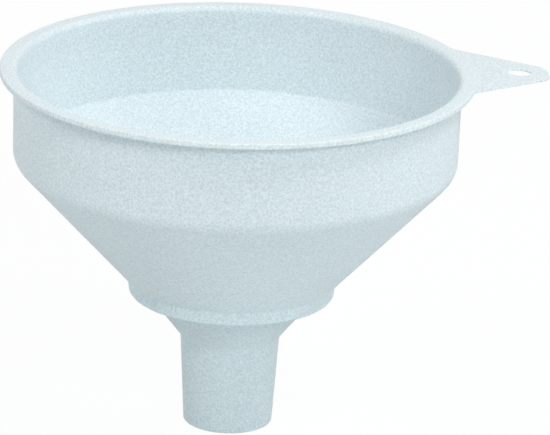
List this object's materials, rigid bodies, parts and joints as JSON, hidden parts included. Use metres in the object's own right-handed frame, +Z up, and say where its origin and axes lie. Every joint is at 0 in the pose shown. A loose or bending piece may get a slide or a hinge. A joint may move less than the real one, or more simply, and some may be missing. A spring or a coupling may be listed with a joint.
{
  "type": "funnel",
  "caption": "Pale moulded plastic fuel funnel: wide upright-walled bowl, cone, stepped strainer seat, short spout, holed hanging tab, and a lift-out brass-gauze strainer.",
  "frame": {"origin": "centre of the part's bounding box at the level of the spout's end; the funnel's own axis is parallel to Z at x = -12.75 mm, y = 0", "axes": "+Z up out of the bowl, +X towards the hanging tab, +Y across the tab"},
  "size_m": [0.1854, 0.16, 0.126],
  "materials": {
    "pale_polyethylene": "satin, slightly translucent natural polyethylene",
    "white_polyethylene": "satin",
    "brass_wire_cloth": "woven wire"
  },
  "bodies": {
    "funnel": {"funnel_body": "pale_polyethylene"},
    "strainer": {"strainer_base": "white_polyethylene", "strainer_gauze": "brass_wire_cloth", "strainer_retainer": "white_polyethylene", "strainer_pull": "white_polyethylene"}
  },
  "joints": [
    {"name": "strainer_lift", "type": "slide", "parent": "funnel", "child": "strainer", "axis": [0, 0, 1], "range_m": [0, 0.1]}
  ]
}
